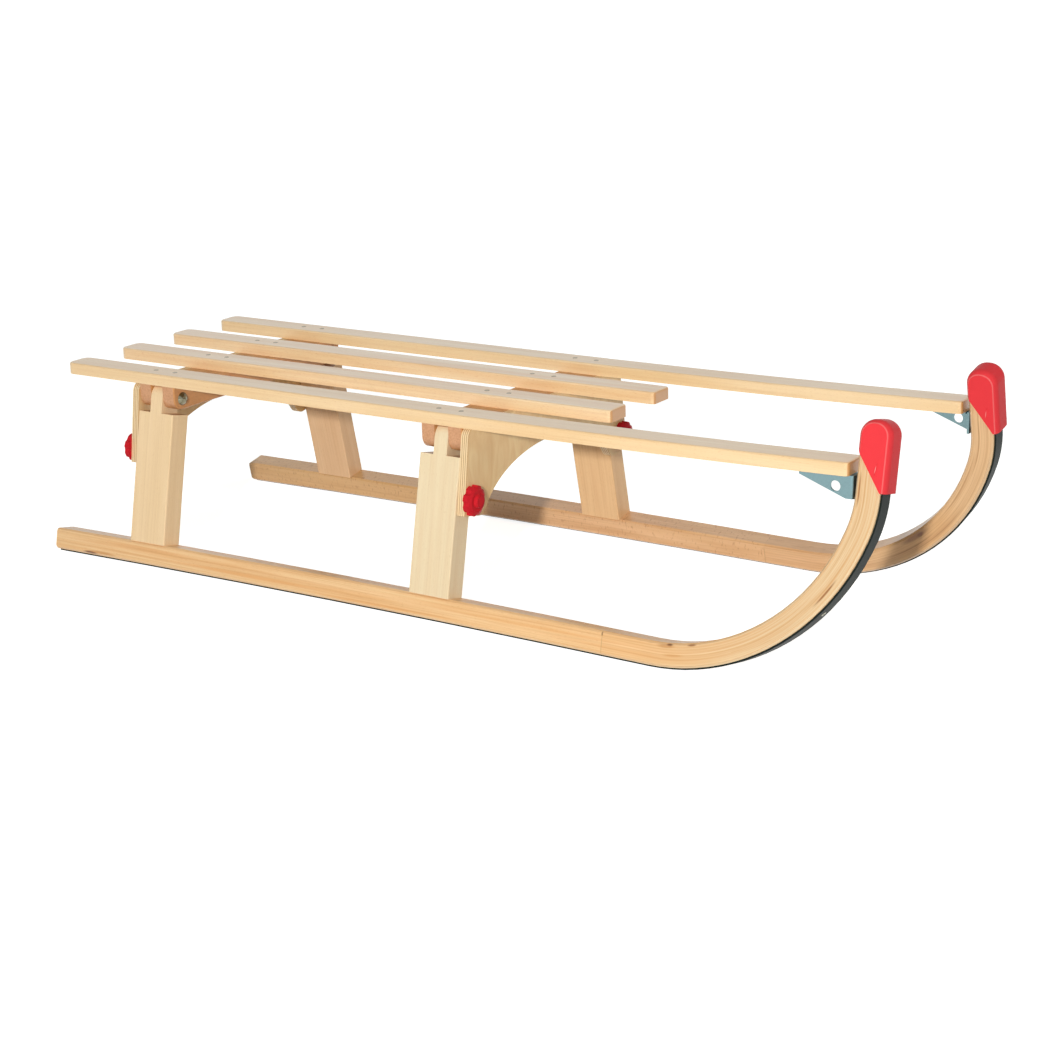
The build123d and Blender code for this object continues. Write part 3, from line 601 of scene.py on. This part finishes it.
def rolled_steel(name, colour):
    """Dark rolled steel: mill scale drifts in patches, with scratches drawn out along X.

    Scale leaves the eye a dull near black, with a soft shine along the scratches.
    """
    made, tree = material(name)
    spot = add(tree, "TexCoord")["Object"]
    scale = add(tree, "TexNoise", {"Vector": spot, "Scale": MILL_SCALE, "Detail": 3.0})[0]
    scratch = add(tree, "Mapping", {"Vector": spot, "Scale": SCRATCHES})[0]
    scratch = add(tree, "TexNoise", {"Vector": scratch, "Scale": 1.0, "Detail": 2.0})[0]
    tone = add(tree, "MapRange", {0: scale, 3: SCALE_TONES[0], 4: SCALE_TONES[1]})[0]
    steel = add(tree, "Mix", {0: 1.0, 6: linear(colour), 7: tone}, data_type="RGBA",
                blend_type="MULTIPLY")[2]
    gloss = add(tree, "MapRange", {0: scratch, 3: SCRATCH_GLOSS[0], 4: SCRATCH_GLOSS[1]})[0]
    relief = add(tree, "Bump", {"Strength": SCRATCH_RELIEF[0], "Distance": SCRATCH_RELIEF[1],
                                "Height": scratch})[0]
    shader = add(tree, "BsdfPrincipled", {"Base Color": steel, "Metallic": SCALED_METAL,
                                          "Roughness": gloss, "Specular IOR Level": SCALED_LEVEL,
                                          "Normal": relief})[0]
    add(tree, "OutputMaterial", {"Surface": shader})
    return made


dress(["left_shoe", "right_shoe"], rolled_steel("dark rolled steel, shoes", SHOE_STEEL))

# ---- shoe screws ----
# Six countersunk wood screws to a shoe, of the same size as the slats', driven flush through the
# steel into the runner. Their zinc plate has dulled like the bolts'.

# x and height from the fold axis, just outside the shoe: four along its straight run, two in its bend
SHOE_SCREW_PLACES = ((-0.47, -0.21), (-0.235, -0.21), (0.0, -0.21), (0.22, -0.21), (0.37, -0.199),
                     (0.4945, -0.1265))

for side, turn in side_turns.items():
    lean = Matrix.Rotation(turn * SPLAY, 3, "X")
    frames = []
    for x, z in SHOE_SCREW_PLACES:
        guess = Vector(side_pivots[side + "_side"]) + lean @ Vector((x, 0, z))
        _, place, outward, _ = nodes[side + "_shoe"].closest_point_on_mesh(guess)
        frames.append((np.array(outward.to_track_quat("Z", "Y").to_matrix()), np.array(place)))
    shoe_screws = mesh_object(side + "_shoe_screws", *copies(screw_head, frames), dull_zinc)
    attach(shoe_screws, side + "_side")

# ---- brackets ----
# Folded zinc plated sheet between rail and horn, with a rope eye; a screw holds each to the horn.
# Fresh plate on the sheet gives it a cool blue cast.

dress(["left_bracket", "right_bracket"], zinc("zinc plated sheet steel", "#7F9BA0", 0.4))
dress(["left_bracket_screw", "right_bracket_screw"], screw_zinc)

# ---- floor, light and camera ----
# A plain pale floor that shows white to the camera and keeps a soft shadow; a low key lamp to the
# sled's right, broad weak ones ahead of it and to its left, and an even, faintly warm sky.

FLOOR_SIZE = 30.0
AIM = (0, 0, 0.12)
# each lamp's name, place, width and power in watts; all of them point at AIM
LAMPS = (("key_lamp", (1.55, -3.74, 1.45), 0.15, 136.0), ("fill_lamp", (3.5, -0.8, 2.2), 1.6, 8.5),
         ("back_lamp", (1.8, 4.2, 1.8), 2.0, 42.0))
# the sky's strength and tint as the wood and the floor catch it; the camera sees plain white
SKY = 0.19
SKY_TINT = (0.96, 1.0, 0.86, 1)
FLOOR_PAINT = (0.8, 0.8, 0.8, 1)
GLOW_NEAR = 0.86          # the floor's own light as the camera sees it, round the sled
GLOW_FAR = 1.0
GLOW_REACH = (1.0, 4.0)   # metres from the sled between which it turns from near to far


def seen_as_backdrop(tree):
    """One for what the camera sees straight, mirrored or through glass, and nothing for plain light."""
    rays = add(tree, "LightPath")
    seen = add(tree, "Math", {0: rays["Is Camera Ray"], 1: rays["Is Glossy Ray"]}, operation="MAXIMUM")[0]
    return add(tree, "Math", {0: seen, 1: rays["Is Transmission Ray"]}, operation="MAXIMUM")[0]


floor_finish, tree = material("white painted floor")
seen = seen_as_backdrop(tree)
paint = add(tree, "BsdfDiffuse", {"Color": FLOOR_PAINT})[0]
spot = add(tree, "TexCoord")["Object"]
away = add(tree, "VectorMath", {0: spot}, operation="LENGTH")["Value"]
shine = add(tree, "MapRange", {0: away, 1: GLOW_REACH[0], 2: GLOW_REACH[1],
                               3: GLOW_NEAR, 4: GLOW_FAR})[0]
shine = add(tree, "Math", {0: seen, 1: shine}, operation="MULTIPLY")[0]
glow = add(tree, "Emission", {"Strength": shine})[0]
both = add(tree, "AddShader", {0: paint, 1: glow})[0]
add(tree, "OutputMaterial", {"Surface": both})
half = FLOOR_SIZE / 2
corners = np.array([(-half, -half, 0), (half, -half, 0), (half, half, 0), (-half, half, 0)])
floor = mesh_object("floor", corners, np.array([(0, 1, 2, 3)]), floor_finish, smooth=False)

world = bpy.data.worlds.new("studio")
bpy.context.scene.world = world
world.use_nodes = True
tree = world.node_tree
tree.nodes.clear()
seen = seen_as_backdrop(tree)
level = add(tree, "MapRange", {0: seen, 3: SKY, 4: 1.0})[0]
hue = add(tree, "Mix", {0: seen, 6: SKY_TINT, 7: (1, 1, 1, 1)}, data_type="RGBA")[2]
sky = add(tree, "Background", {"Color": hue, "Strength": level})[0]
add(tree, "OutputWorld", {"Surface": sky})

for name, place, size, power in LAMPS:
    lamp = bpy.data.objects.new(name, bpy.data.lights.new(name, "AREA"))
    lamp.data.energy = power
    lamp.data.size = size
    lamp.location = place
    lamp.visible_glossy = False   # the lacquer mirrors the pale room and no lamp's glare
    lamp.rotation_euler = (Vector(AIM) - Vector(place)).to_track_quat("-Z", "Y").to_euler()
    bpy.context.scene.collection.objects.link(lamp)

CAMERA_PLACE = (1.41573, -2.08996, 0.82309)
CAMERA_AZIMUTH = 33.728   # degrees to the left of facing along Y
CAMERA_DOWN = 16.803      # degrees below level
CAMERA_ROLL = -1.572      # degrees about its line of sight
FOCAL_LENGTH = 76.50      # mm
SENSOR_WIDTH = 36.0       # mm

camera = bpy.data.objects.new("camera", bpy.data.cameras.new("camera"))
camera.data.lens = FOCAL_LENGTH
camera.data.sensor_width = SENSOR_WIDTH
camera.location = CAMERA_PLACE
level_view = Euler((radians(90 - CAMERA_DOWN), 0, radians(CAMERA_AZIMUTH))).to_matrix()
roll = Euler((0, 0, radians(CAMERA_ROLL))).to_matrix()
camera.rotation_euler = (level_view @ roll).to_euler()
bpy.context.scene.collection.objects.link(camera)
bpy.context.scene.camera = camera
bpy.context.scene.view_settings.view_transform = "Standard"
